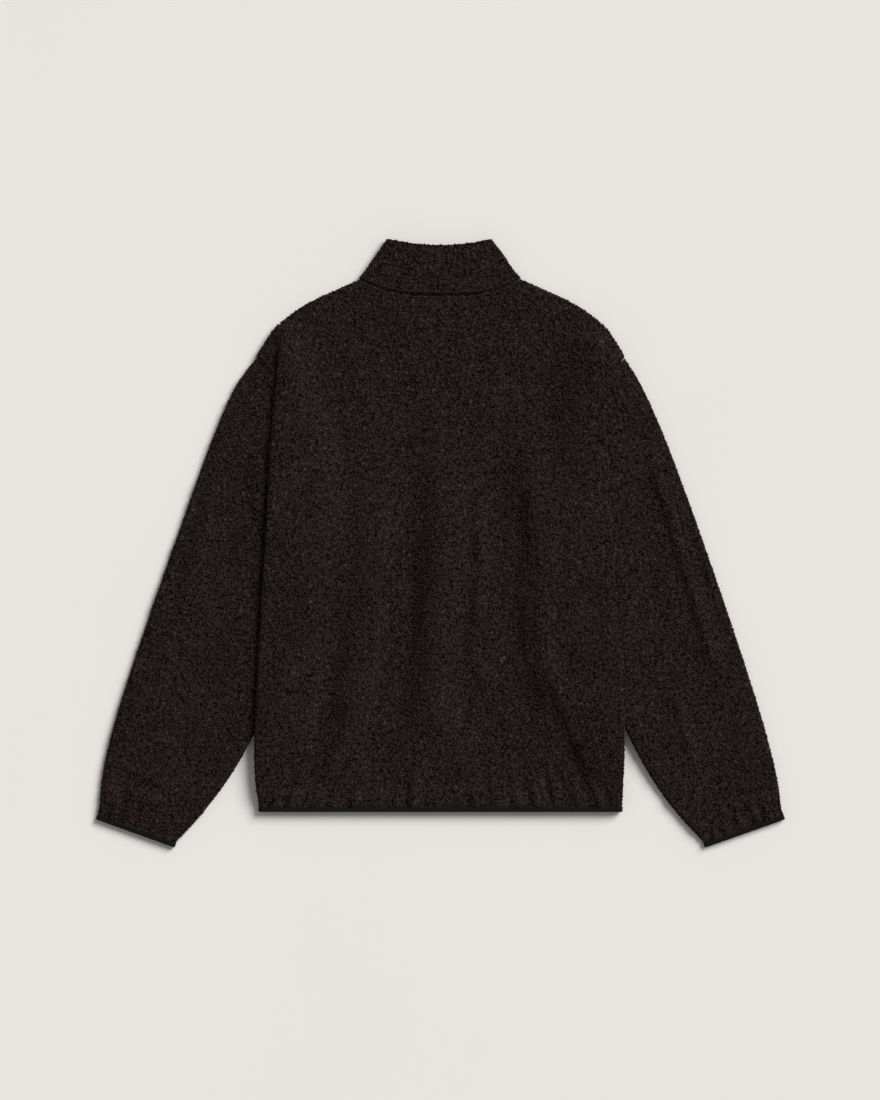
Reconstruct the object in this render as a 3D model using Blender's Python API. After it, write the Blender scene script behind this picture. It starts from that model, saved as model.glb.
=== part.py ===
"""Half-zip fleece pullover, laid flat face down, with its back panel on top.

The cloth is a wall through rows of points on its middle surface. Each row runs from the garment's
centre line outwards, round the body fold, back under it, and out again to the armhole or side seam.
Lengths are in millimetres until a mesh is made. +X is the wearer's right, +Y is towards the collar,
+Z is up, and the surface that the garment lies on is Z = 0.
"""

import math

import bpy
import numpy as np

MM = 0.001

# Cloth
CLOTH = 2.4            # wall of the fleece
EDGE_CLOTH = 1.2       # fleece pressed inside a binding
ZIP_EDGE_CLOTH = 3.2   # fleece doubled beside the zip
SEAM_GAP = 0.3
FLOOR_MID = CLOTH / 2  # height of the middle of a wall that lies on the surface

# Body, heights along the garment
HEM_Y = -348.0
FOLD_TOP_Y = 285.0     # shoulder line above the top of the body fold
NECK_HALF = 106.0      # neck point, from the centre
BACK_NECK_Y = 323.5
NECK_POINT_Y = 345.5
FRONT_NECK_Y = 271.0
SHOULDER_Y = 243.0
ARMPIT_Y = 0.0
BODY_GAP = 5.4         # middle of the front to middle of the back, at the centre
SHOULDER_GAP = 6.4
SLEEVE_GAP = 4.4       # between the two layers of a sleeve that lies inside the body fold
FRONT_FOLD_INSET = 6.0 # the front is folded a little further in than the back
SHOULDER_DEPTH = 4.4   # how far the shoulder takes to turn down
SHOULDER_STEPS = 3
SHOULDER_SEAM_GAP = 1.1  # between the middle lines; their slanted ends come nearer

# Columns of a panel's flat half, and its rows as shares of the way from the hem to the shoulder
BACK_COLUMNS = 18
FRONT_SHARES = (0.0, 0.16, 0.32, 0.469, 0.65, 0.83, 1.0)
ZIP_ROW = 0.68         # the row at the bottom of the zip
ARMHOLE_ROWS = (0.553, 0.58, 0.61, 0.64, ZIP_ROW, 0.74, 0.80, 0.85, 0.895, 0.925, 0.95, 0.975, 1.0)
BACK_ROWS = (0.0, 0.0097, 0.02, 0.034, 0.055, 0.085, 0.125, 0.2, 0.32, 0.44) + ARMHOLE_ROWS
FRONT_ROWS = (0.0, 0.0097, 0.02, 0.034, 0.055, 0.125, 0.25, 0.4) + ARMHOLE_ROWS

# Shoulder line from the neck point outwards
SHOULDER_LINE = np.array([
    # x, y
    (106.0, 345.5), (119.0, 337.0), (143.0, 327.0), (166.0, 316.6), (184.0, 306.0), (198.0, 296.0),
    (211.0, 285.0), (219.5, 275.0), (227.5, 264.6), (234.0, 254.0), (240.5, 243.0),
])

# Outer edge of the body, where the back folds under
BODY_EDGE = np.array([
    # y, left, right
    (-349, 236.5, 236.5), (-341, 236.5, 236.5), (-320, 239.5, 237.5), (-290, 242.5, 238.5),
    (-256, 242.5, 240.0), (-200, 239.5, 238.5), (-102, 234.3, 230.0), (-12, 228.0, 224.5),
    (30, 225.5, 221.7),
    (98, 223.0, 219.0), (150, 219.5, 214.5), (205, 214.0, 213.0), (240, 211.0, 212.0),
    (285, 211.0, 211.0),
])

# How the side is folded, from the hem up. The cloth turns by `fold` degrees (0 is outwards, 90 is
# down, 180 is inwards), runs back by `inward`, and turns to `end` degrees at the seam.
SIDE_FOLD = np.array([
    # y, fold, fold_length, inward, end, end_length
    (-349, 65, 2.8, 0.8, 90, 1.6),
    (-341, 65, 2.8, 0.8, 90, 1.6),
    (-334, 85, 3.4, 0.8, 90, 2.0),
    (-326, 130, 4.2, 1.0, 90, 2.8),
    (-312, 180, 5.4, 4.0, 90, 4.2),
    (-290, 180, 5.6, 16.0, 90, 6.4),
    (-262, 180, 5.6, 24.0, 90, 7.6),
    (-198, 180, 5.6, 40.0, 90, 7.6),
    (-102, 180, 5.6, 57.0, 90, 7.6),
    (0, 180, 5.6, 68.0, 90, 7.6),
    (25, 180, 5.6, 65.0, 60, 6.4),
    (50, 180, 5.6, 61.0, 25, 5.4),
    (75, 180, 5.6, 56.0, 0, 4.7),
    (147, 180, 5.6, 37.0, 0, 4.7),
    (200, 180, 5.6, 14.0, 0, 4.7),
    (230, 180, 5.6, 3.5, 0, 4.7),
    (240, 140, 4.6, 0.6, 0, 4.0),
    (250, 95, 4.6, 0.6, 0, 4.2),
    (260, 60, 4.2, 0.9, 0, 4.2),
    (272, 15, 4.7, 1.0, 0, 4.7),
    (280, 0, 4.7, 1.0, 0, 4.7),
])

FOLD_STEPS = 4
INWARD_STEPS = 2
END_STEPS = 3
STUB_STEPS = 2         # from the last turn to the armhole or side seam
SEAM_STUB = 0.8
FOLD_REACH_MAX = 2.8

# Visible part of the armhole seam, above the place where it leaves the fold
ARMHOLE_EXIT_Y = 200.0
ARMHOLE_TOP = np.array([
    # y, x
    (200, 201.0), (222, 219.0), (243, 240.5),
])

# Sleeve edges from the armhole to the cuff
SLEEVE_OUTER = np.array([
    # y, left, right
    (243, 240.5, 240.5), (213, 263.0, 258.0), (171, 282.8, 277.5), (108, 307.5, 303.5),
    (25, 336.0, 333.5), (-79, 373.8, 370.0), (-203, 415.4, 411.5), (-266, 434.9, 429.7),
    (-308, 441.5, 439.0), (-346.7, 444.6, 444.6), (-358, 448.7, 448.7),
])
SLEEVE_INNER = np.array([
    # y, left, right
    (-6, 162.0, 159.5), (-125, 198.0, 198.0), (-223, 232.0, 232.0), (-286, 256.0, 258.0),
    (-328, 292.0, 289.0), (-372, 328.0, 326.0), (-386, 342.6, 340.6), (-395, 345.9, 343.9),
])

SLEEVE_LIFT = 6.4
SLEEVE_INSET = 3.5     # from a sleeve's edge to the middle of its turn
SLEEVE_PUFF = 2.0
SLEEVE_TURN = 4        # columns round a sleeve's edge
SLEEVE_ROWS = (0.0, 0.02, 0.06, 0.12, 0.2, 0.32, 0.46, 0.62, 0.78, 0.89, 0.945, 0.98, 1.0)
CUFF_PRESS_START = 0.93
CUFF_PRESS_END = 0.98
CUFF_GAP = 4.4
SLEEVE_FOLDS = np.array([
    # foot_x, foot_y, head_x, head_y, half_width, height
    (-404, -300, -352, -120, 20, 1.8),
    (-300, 40, -262, 160, 18, 1.4),
    (398, -290, 340, -60, 20, 2.0),
    (300, 60, 268, 170, 16, 1.6),
    (-388, -348, -420, -318, 9, 1.8),
    (424, -322, 392, -342, 9, 1.8),
])

# Soft folds and hem gathers of the back, each a rounded ridge from its foot to its head
BACK_FOLDS = np.array([
    # foot_x, foot_y, head_x, head_y, half_width, height
    (-140, -330, -96, -120, 17, 3.0),
    (-96, -120, -62, 130, 20, 2.6),
    (44, -150, 50, 120, 18, 2.6),
    (66, -200, 54, 20, 15, 2.2),
    (196, -300, 144, -150, 14, 2.4),
    (150, -290, 108, -110, 12, 2.4),
    (120, 90, 158, 230, 22, 1.6),
    (-150, 60, -168, 210, 22, 1.4),
    (-188, -338, -176, -250, 10, 2.4),
    (-156, -338, -138, -270, 9, 2.8),
    (-118, -338, -106, -262, 9, 2.6),
    (-42, -338, -34, -282, 8, 2.6),
    (-20, -338, -24, -262, 8, 3.0),
    (4, -338, -2, -276, 7, 2.6),
    (41, -338, 26, -262, 9, 3.2),
    (60, -338, 50, -280, 7, 2.2),
    (84, -338, 66, -262, 9, 3.0),
    (136, -338, 108, -250, 10, 3.0),
    (174, -338, 150, -256, 9, 2.8),
    (204, -338, 186, -262, 9, 2.4),
])

# Collar
COLLAR_EDGE = np.array([
    # y, left, right
    (345, 105.5, 104.5), (358, 95.0, 92.0), (368, 89.0, 86.5), (379, 81.5, 80.0), (389, 73.0, 70.0),
    (395, 69.0, 66.0),
])
COLLAR_FOLD = np.array([
    # share of the height, fold, fold_length, inward, end, end_length
    (0.0, 65, 2.9, 0.8, 90, 1.7),
    (1.0, 75, 4.2, 0.8, 90, 1.7),
])
COLLAR_ROWS = (0.0, 0.25, 0.5, 0.75, 1.0)
COLLAR_BACK_TOP_Y = 388.0
COLLAR_CORNER_Y = 395.4
COLLAR_FRONT_TOP_Y = 332.0
COLLAR_BACK_COLUMNS = 7
COLLAR_FRONT_COLUMNS = 4
COLLAR_SIDE_GAP = 1.2  # more at the sides, where the collar leans inwards
COLLAR_SEAM_GAP = 0.7  # along the garment; the slanted seam lines come nearer

# Bindings
BINDING = 0.8
BINDING_HEIGHT = 5.6
BINDING_CLEAR = 0.3
EDGE_MID = BINDING + BINDING_CLEAR + EDGE_CLOTH / 2

# Zip
ZIP_BOTTOM_Y = HEM_Y + (FRONT_NECK_Y - SHOULDER_DEPTH - HEM_Y) * ZIP_ROW
SLIT_HALF = 4.5
CHAIN_HALF = 3.0
CHAIN_BOTTOM = 2.6
CHAIN_TOP = 5.0
TAPE_BOTTOM = ZIP_EDGE_CLOTH + SEAM_GAP
TAPE_TOP = TAPE_BOTTOM + 0.6
TAPE_OUTER = 15.0
CHAIN_END_Y = 321.0
SLIDER_HALF = 4.0
SLIDER_PLATE = 0.6
SLIDER_LOW_Y = 314.0
SLIDER_TOP_Y = 327.0
SLIDER_POST_Y = 323.0
SLIDER_OUTER_Z = 1.7   # underside of the plate on the garment's outer side
SLIDER_INNER_Z = CHAIN_TOP + SEAM_GAP
LUG_INNER = 2.9
LUG_OUTER = 3.7
LUG_BOTTOM = 0.4
TAB_HINGE_Y = 320.0
TAB_HINGE_Z = 0.9
TAB_HALF_THICK = 0.45
TAB_HALF = 2.6
TAB_TIP_HALF = 3.2
TAB_LENGTH = 24.0
TAB_HEEL = 0.6


def column(table, index):
    """One column of a table by its height, as arrays that np.interp takes."""
    order = np.argsort(table[:, 0])
    return table[order, 0], table[order, index]


def read(table, y, index):
    heights, values = column(table, index)
    return float(np.interp(y, heights, values))


def smooth(value, low, high):
    """0 below low, 1 above high, with a soft start and end."""
    part = np.clip((value - low) / (high - low), 0.0, 1.0)
    return part * part * (3.0 - 2.0 * part)


def cloth_object(name, middle, thickness, colour, closed=False, open_cells=None):
    """A wall through a grid of middle points; closed joins the last column to the first."""
    rows, columns, _ = middle.shape
    if closed:
        around = np.roll(middle, -1, axis=1) - np.roll(middle, 1, axis=1)
    else:
        around = np.gradient(middle, axis=1)
    along = np.gradient(middle, axis=0)
    normal = np.cross(around, along)
    normal /= np.maximum(np.linalg.norm(normal, axis=2, keepdims=True), 1e-9)
    half = thickness[..., None] / 2
    points = np.concatenate([(middle + normal * half).reshape(-1, 3),
                             (middle - normal * half).reshape(-1, 3)])
    back = rows * columns
    faces = []
    edges = set()
    for j in range(rows - 1):
        for i in range(columns if closed else columns - 1):
            if open_cells is not None and open_cells[j, i]:
                continue
            n = (i + 1) % columns
            corners = [j * columns + i, j * columns + n, (j + 1) * columns + n, (j + 1) * columns + i]
            faces.append(corners)
            faces.append([c + back for c in reversed(corners)])
            for a, b in zip(corners, corners[1:] + corners[:1]):
                edges.add((a, b))
    for a, b in sorted(edges):
        if (b, a) not in edges:
            faces.append([b, a, a + back, b + back])
    return mesh_object(name, points, faces, colour)


def mesh_object(name, points, faces, colour, roughness=0.9, metallic=0.0):
    used = sorted({index for face in faces for index in face})
    place = {old: new for new, old in enumerate(used)}
    mesh = bpy.data.meshes.new(name)
    mesh.from_pydata([tuple(points[i] * MM) for i in used], [],
                     [[place[i] for i in face] for face in faces])
    mesh.validate()
    mesh.shade_smooth()
    mesh.set_sharp_from_angle(angle=math.radians(50))
    thing = bpy.data.objects.new(name, mesh)
    bpy.context.collection.objects.link(thing)
    mesh.materials.append(material(name, colour, roughness, metallic))
    return thing


def material(name, colour, roughness, metallic):
    made = bpy.data.materials.new(name)
    made.use_nodes = True
    shader = made.node_tree.nodes["Principled BSDF"]
    shader.inputs["Base Color"].default_value = (*colour, 1.0)
    shader.inputs["Roughness"].default_value = roughness
    shader.inputs["Metallic"].default_value = metallic
    return made


FLEECE = (0.014, 0.010, 0.009)
BLACK_ELASTIC = (0.006, 0.006, 0.008)
TAPE_BLACK = (0.010, 0.009, 0.009)
DARK_METAL = (0.06, 0.055, 0.05)


def shoulder_y(x):
    return float(np.interp(x, SHOULDER_LINE[:, 0], SHOULDER_LINE[:, 1]))


def panel_top(x, back):
    """Height of the neckline or shoulder line at a distance from the centre."""
    if x > NECK_HALF:
        return shoulder_y(x)
    low = BACK_NECK_Y if back else FRONT_NECK_Y
    power = 3.0 if back else 2.2
    return low + (NECK_POINT_Y - low) * (x / NECK_HALF) ** power


def side_steps():
    """What each column of the side fold does: fold, run inwards, or turn at the seam."""
    return ["fold"] * FOLD_STEPS + ["inward"] * INWARD_STEPS + ["end"] * END_STEPS


def front_inset(y):
    """How much further in the front is folded than the back."""
    return min(FRONT_FOLD_INSET, 0.5 * max(read(SIDE_FOLD, y, 3) - 2.0, 0.0)) * (1.0 - shoulder_slide(y))


def side_path(y, inset=0.0):
    """Offsets (outwards, down) of the side fold's columns from the flat part's end."""
    fold, fold_length, inward, end, end_length = (read(SIDE_FOLD, y, k) for k in range(1, 6))
    return fold_path(fold, fold_length, inward - inset, end, end_length)


def fold_path(fold, fold_length, inward, end, end_length):
    heading = 0.0
    out = down = 0.0
    path = []
    for part in side_steps():
        if part == "fold":
            step = fold_length / FOLD_STEPS
            turn = fold / FOLD_STEPS
        elif part == "inward":
            step = inward / INWARD_STEPS
            turn = 0.0
        else:
            step = end_length / END_STEPS
            turn = (end - fold) / END_STEPS
        angle = math.radians(heading + turn / 2)
        out += step * math.cos(angle)
        down += step * math.sin(angle)
        heading += turn
        path.append((out, down))
    return path


def side_drop(y):
    return side_path(y)[-1][1] + SEAM_STUB * math.sin(math.radians(read(SIDE_FOLD, y, 4)))


def side_reach(y):
    """How far the fold reaches past the flat part's end."""
    return min(max(out for out, _ in side_path(y)), FOLD_REACH_MAX)


def layer_gap(y):
    """Between the ends of the back's and the front's side folds."""
    near_armpit = SEAM_GAP + (SLEEVE_GAP - SEAM_GAP) * smooth(y, ARMPIT_Y - 20.0, 25.0)
    return near_armpit + (SHOULDER_GAP - SLEEVE_GAP) * smooth(y, 236.0, 278.0)


def back_edge_z(y):
    """Height of the back's middle surface along the body fold."""
    return front_z(y) + 2 * side_drop(y) + layer_gap(y)


def front_z(y):
    """The front lies on the surface; its hem is lifted by the binding under it."""
    return EDGE_MID + (FLOOR_MID - EDGE_MID) * smooth(y, HEM_Y + BINDING_HEIGHT, HEM_Y + 22.0)


def cloth_wall(y):
    return EDGE_CLOTH + (CLOTH - EDGE_CLOTH) * smooth(y, HEM_Y + BINDING_HEIGHT, HEM_Y + 16.0)


def ridges(table, x, y):
    """Height that the soft folds in a table add at a point."""
    total = 0.0
    for foot_x, foot_y, head_x, head_y, half_width, height in table:
        run = np.array([head_x - foot_x, head_y - foot_y])
        along = ((x - foot_x) * run[0] + (y - foot_y) * run[1]) / (run @ run)
        near = min(max(along, 0.0), 1.0)
        away = math.hypot(x - foot_x - near * run[0], y - foot_y - near * run[1])
        fade = smooth(1.25 - along, 0.0, 0.5) * smooth(along, -0.02, 0.12)
        total += height * fade * math.exp(-((away / half_width) ** 2) * 1.4)
    return total


def back_z(x, y):
    """Height of the back over the layers folded in at the sides and the flat front between them."""
    side = 1 if x < 0 else 2
    edge = read(BODY_EDGE, y, side)
    inner = edge - read(SIDE_FOLD, y, 3) - 8.0
    high = back_edge_z(y)
    middle = FLOOR_MID + BODY_GAP + (SHOULDER_GAP - BODY_GAP) * smooth(y, 200.0, 300.0)
    middle += (back_edge_z(HEM_Y) - middle) * (1.0 - smooth(y, HEM_Y + 6.0, HEM_Y + 40.0))
    ramp = 42.0
    level = middle + (high - middle) * smooth(abs(x), inner - ramp, inner)
    return level + ridges(BACK_FOLDS, x, y)


def shoulder_slide(y_fold):
    """0 where the armhole lies inside the fold, 1 on the shoulder line."""
    return min(max((y_fold - ARMHOLE_EXIT_Y) / (FOLD_TOP_Y - ARMHOLE_EXIT_Y), 0.0), 1.0)


def side_points(y_fold, side, back):
    """Middle points of one side from the flat part's end to the seam, as (x outwards, y, z)."""
    inset = 0.0 if back else front_inset(y_fold)
    start = read(BODY_EDGE, y_fold, side) - CLOTH / 2 - side_reach(y_fold) - inset
    slide = shoulder_slide(y_fold)
    sign = -1.0 if back else 1.0
    level = back_edge_z(y_fold) if back else front_z(y_fold)
    end_angle = math.radians(read(SIDE_FOLD, y_fold, 4))
    points = []
    for out, down in side_path(y_fold, inset):
        x = start + out
        sink = FOLD_TOP_Y - shoulder_y(max(x, SHOULDER_LINE[6, 0]))
        points.append((x, y_fold - sink * slide, level + sign * down))
    x, y, z = points[-1]
    end_y = y_fold - (FOLD_TOP_Y - SHOULDER_Y) * slide
    if slide > 0.0:
        end_x = read(ARMHOLE_TOP, end_y, 1)
    else:
        end_x = x + (SEAM_STUB + 2.5 * smooth(y_fold, 160.0, ARMHOLE_EXIT_Y)) * math.cos(end_angle)
    end_z = z + sign * SEAM_STUB * math.sin(end_angle)
    for k in range(1, STUB_STEPS + 1):
        share = k / STUB_STEPS
        points.append((x + (end_x - x) * share, y + (end_y - y) * share, z + (end_z - z) * share))
    return start, points


def flat_places(start, back):
    """Distances from the centre of a row's flat columns, up to where the fold starts."""
    if back:
        return [start * k / BACK_COLUMNS for k in range(BACK_COLUMNS + 1)]
    return [SLIT_HALF] + [TAPE_OUTER + (start - TAPE_OUTER) * share for share in FRONT_SHARES]


def half_row(share, side, back):
    """Middle points and walls of half a row, from the centre to the seam, x counted outwards."""
    top = FOLD_TOP_Y - SHOULDER_DEPTH
    y_fold = HEM_Y + (top - HEM_Y) * share
    start, ends = side_points(y_fold, side, back)
    start_at_top, _ = side_points(top, side, back)
    sign = -1.0 if side == 1 else 1.0
    points = []
    for x, x_at_top in zip(flat_places(start, back), flat_places(start_at_top, back)):
        top_y = panel_top(x_at_top, back) - SHOULDER_DEPTH
        y = HEM_Y + (top_y - HEM_Y) * share
        if back:
            level = back_z(sign * x, y)
            level += (back_edge_z(y_fold) - level) * smooth(x, start - 16.0, start)
        else:
            level = front_z(y)
        points.append((x, y, level))
    points += ends
    walls = [cloth_wall(y) for _, y, _ in points]
    if not back:
        for i, height in enumerate(y for _, y, _ in points[:2]):
            doubled = (ZIP_EDGE_CLOTH - CLOTH) * smooth(height, ZIP_BOTTOM_Y - 30.0, ZIP_BOTTOM_Y)
            walls[i] += doubled
            points[i] = (points[i][0], height, points[i][2] + doubled / 2)
    return points, walls


def shoulder_rounds(points, back):
    """Rows past the last one, where the shoulder turns down (or up, for the front) to its seam."""
    sign = -1.0 if back else 1.0
    turned = []
    for k in range(1, SHOULDER_STEPS + 1):
        angle = math.radians(90.0 * k / SHOULDER_STEPS)
        row = []
        for x, y, z in points:
            turn = smooth(abs(x), NECK_HALF - 1.4, NECK_HALF + 12.0)
            turn *= 1.0 - 0.55 * smooth(abs(x), 200.0, 232.0)
            sink = sign * (SHOULDER_GAP - SHOULDER_SEAM_GAP) / 2 * (1.0 - math.cos(angle)) * turn
            row.append((x, y + (SHOULDER_DEPTH - CLOTH / 2 * turn) * math.sin(angle), z + sink))
        turned.append(row)
    return turned


def panel_grid(back):
    """Grid of a panel: the left seam, its fold, the flat part, and the same to the right."""
    rows = []
    walls = []
    for share in (BACK_ROWS if back else FRONT_ROWS):
        left, left_walls = half_row(share, 1, back)
        right, right_walls = half_row(share, 2, back)
        skip = 1 if back else 0
        rows.append([(-x, y, z) for x, y, z in left[::-1]] + right[skip:])
        walls.append(left_walls[::-1] + right_walls[skip:])
    rows += shoulder_rounds(rows[-1], back)
    walls += [walls[-1]] * SHOULDER_STEPS
    return np.array(rows), np.array(walls)


def back_panel():
    middle, walls = panel_grid(True)
    return cloth_object("back_panel", middle, walls, FLEECE)


def front_panel():
    middle, walls = panel_grid(False)
    open_cells = np.zeros((middle.shape[0] - 1, middle.shape[1] - 1), dtype=bool)
    centre = middle.shape[1] // 2 - 1
    for j in range(middle.shape[0] - 1):
        open_cells[j, centre] = middle[j, centre, 1] > ZIP_BOTTOM_Y - 2.0
    return cloth_object("front_panel", middle, walls, FLEECE, open_cells=open_cells)


def along_edge(table, share, side):
    """Point a share of the way along a sleeve edge, by its length."""
    points = table[:, [side, 0]]
    lengths = np.concatenate([[0.0], np.cumsum(np.linalg.norm(np.diff(points, axis=0), axis=1))])
    at = share * lengths[-1]
    return np.array([np.interp(at, lengths, points[:, 0]), np.interp(at, lengths, points[:, 1])])


def armhole_points(side):
    """Seam of the body with the sleeve, from the armpit up: (x, y, height of the front's, gap)."""
    found = []
    for share in ARMHOLE_ROWS:
        y_fold = HEM_Y + (FOLD_TOP_Y - SHOULDER_DEPTH - HEM_Y) * share
        _, back = side_points(y_fold, side, True)
        _, front = side_points(y_fold, side, False)
        lean = math.sin(math.radians(read(SIDE_FOLD, y_fold, 4)))
        x = max(back[-1][0], front[-1][0]) + SEAM_GAP + 0.2 + (CLOTH / 2 + 1.0) * lean
        gap = max(back[-1][2] - front[-1][2], SLEEVE_GAP)
        middle = (back[-1][2] + front[-1][2]) / 2
        found.append((x, back[-1][1], middle - gap / 2, gap))
    return np.array(found)


def sleeve_low(x, y, side):
    """Height of the sleeve's lower layer: over the folded front, then down to the surface."""
    away = x - (read(BODY_EDGE, y, side) - front_inset(y))
    over = (1.0 - smooth(away, 16.0, 52.0)) * (1.0 - smooth(y, 205.0, 262.0))
    return FLOOR_MID + SLEEVE_LIFT * over * smooth(y, HEM_Y + 20.0, HEM_Y + 70.0)


def sleeve_gap(x, y, side):
    away = x - read(BODY_EDGE, y, side)
    return SLEEVE_GAP + SLEEVE_PUFF * smooth(away, 16.0, 50.0)


def sleeve_section(share, side):
    """Closed ring of middle points round a sleeve, from its inner edge over the top and back."""
    outer = along_edge(SLEEVE_OUTER, share, side)
    inner = along_edge(SLEEVE_INNER, share, side)
    armhole = armhole_points(side)
    near = 1.0 - smooth(share, 0.0, 0.22)
    at_seam = 1.0 - smooth(share, 0.0, 0.07)
    steps = np.cumsum(np.concatenate([[0.0], np.linalg.norm(np.diff(armhole[:, :2], axis=0), axis=1)]))
    steps /= steps[-1]
    across = outer - inner
    across /= np.linalg.norm(across)
    inner = inner + across * SLEEVE_INSET
    outer = outer - across * SLEEVE_INSET
    edge_in = smooth(share, CUFF_PRESS_START, CUFF_PRESS_END)
    top = []
    for part in steps:
        x_seam, y_seam, low_seam, gap_seam = (np.interp(part, steps, armhole[:, k]) for k in range(4))
        straight = inner + (outer - inner) * part
        bow = np.array([x_seam, y_seam]) - (armhole[0, :2] + (armhole[-1, :2] - armhole[0, :2]) * part)
        place = straight + bow * near
        place += (np.array([x_seam, y_seam]) - place) * at_seam
        place += across * SLEEVE_INSET * at_seam * (float(part == 0.0) - float(part == 1.0))
        low = sleeve_low(place[0], place[1], side)
        gap = sleeve_gap(place[0], place[1], side)
        low += (low_seam - low) * at_seam
        gap += (gap_seam - gap) * at_seam
        low += (EDGE_MID - low) * edge_in
        gap += (CUFF_GAP - gap) * edge_in
        sign = -1.0 if side == 1 else 1.0
        raised = ridges(SLEEVE_FOLDS, sign * place[0], place[1]) * (1.0 - edge_in)
        top.append((place, low, low + gap + raised))
    ring = []
    for ends, heading in ((top[0], -1.0), (top[-1], 1.0)):
        place, low, high = ends
        half = (high - low) / 2
        turn = []
        for k in range(SLEEVE_TURN + 1):
            angle = math.pi * k / SLEEVE_TURN
            spot = place + across * heading * half * math.sin(angle)
            turn.append((spot[0], spot[1], low + half * (1.0 - math.cos(angle))))
        ring.append(turn)
    inner_turn, outer_turn = ring
    upper = [(p[0], p[1], high) for p, _, high in top[1:-1]]
    lower = [(p[0], p[1], low) for p, low, _ in top[1:-1]]
    return inner_turn + upper + outer_turn[::-1] + lower[::-1]


def sleeve(side):
    sections = [sleeve_section(share, side) for share in SLEEVE_ROWS]
    middle = np.array(sections)
    pressed = [smooth(share, CUFF_PRESS_START, CUFF_PRESS_END) for share in SLEEVE_ROWS]
    walls = np.repeat(CLOTH - (CLOTH - EDGE_CLOTH) * np.array(pressed)[:, None], middle.shape[1], axis=1)
    if side == 1:
        middle[:, :, 0] *= -1.0
    else:
        middle = middle[:, ::-1]
    name = "sleeve_left" if side == 1 else "sleeve_right"
    return cloth_object(name, middle, walls, FLEECE, closed=True)


def neck_seam(x, back):
    """Neckline of a panel at a distance from the centre, straight between its columns."""
    start, _ = side_points(FOLD_TOP_Y - SHOULDER_DEPTH, 1, back)
    places = flat_places(start, back)
    return float(np.interp(x, places, [panel_top(place, back) for place in places]))


def collar_half(share, side):
    """One side of the collar at a share of its height: from centre back to centre front."""
    side_y = COLLAR_EDGE[0, 0] + (COLLAR_CORNER_Y - COLLAR_EDGE[0, 0]) * share
    fold = [float(np.interp(share, COLLAR_FOLD[:, 0], COLLAR_FOLD[:, k])) for k in range(1, 6)]
    path = fold_path(*fold)
    reach = min(max(out for out, _ in path), FOLD_REACH_MAX)
    start = read(COLLAR_EDGE, side_y, side) - CLOTH / 2 - reach
    base_start = read(COLLAR_EDGE, COLLAR_EDGE[0, 0], side) - CLOTH / 2 - FOLD_REACH_MAX
    drop = path[-1][1]
    level = FLOOR_MID + 2 * drop
    side_seam = neck_seam(COLLAR_EDGE[0, 1], True) + COLLAR_SEAM_GAP + COLLAR_SIDE_GAP
    back = []
    for k in range(COLLAR_BACK_COLUMNS + 1):
        part = k / COLLAR_BACK_COLUMNS
        seam_y = neck_seam(base_start * part, True) + COLLAR_SEAM_GAP + COLLAR_SIDE_GAP * part ** 6
        top_y = COLLAR_BACK_TOP_Y + (COLLAR_CORNER_Y - COLLAR_BACK_TOP_Y) * part ** 2
        back.append((start * part, seam_y + (top_y - seam_y) * share, level))
    turn_y = side_seam + (COLLAR_CORNER_Y - side_seam) * share
    upper = [(start + out, turn_y, level - down) for out, down in path]
    lower = [(start + out, turn_y, FLOOR_MID + down) for out, down in path[:-1]]
    front = []
    for part in (0.0, *((k + 1) / COLLAR_FRONT_COLUMNS for k in range(COLLAR_FRONT_COLUMNS))):
        beyond_tape = (part * COLLAR_FRONT_COLUMNS - 1) / (COLLAR_FRONT_COLUMNS - 1)
        inner = TAPE_OUTER + (start - TAPE_OUTER) * beyond_tape if part else SLIT_HALF
        base = TAPE_OUTER + (base_start - TAPE_OUTER) * beyond_tape if part else SLIT_HALF
        seam_y = neck_seam(base, False) + COLLAR_SEAM_GAP * 1.5 + COLLAR_SIDE_GAP * part ** 4
        rise = (base / base_start) ** 1.6
        top_y = COLLAR_FRONT_TOP_Y + (COLLAR_CORNER_Y - COLLAR_FRONT_TOP_Y) * rise
        front.append((inner, seam_y + (top_y - seam_y) * share, FLOOR_MID))
    return back + upper + lower[::-1] + front[::-1]


def collar():
    rows = []
    for share in COLLAR_ROWS:
        left = collar_half(share, 1)
        right = collar_half(share, 2)
        rows.append([(-x, y, z) for x, y, z in left[::-1]] + right[1:])
    middle = np.array(rows)
    walls = np.full(middle.shape[:2], CLOTH)
    for i in (0, 1, -2, -1):
        walls[:, i] = ZIP_EDGE_CLOTH
        middle[:, i, 2] = ZIP_EDGE_CLOTH / 2
    return cloth_object("collar", middle, walls, FLEECE)


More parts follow.
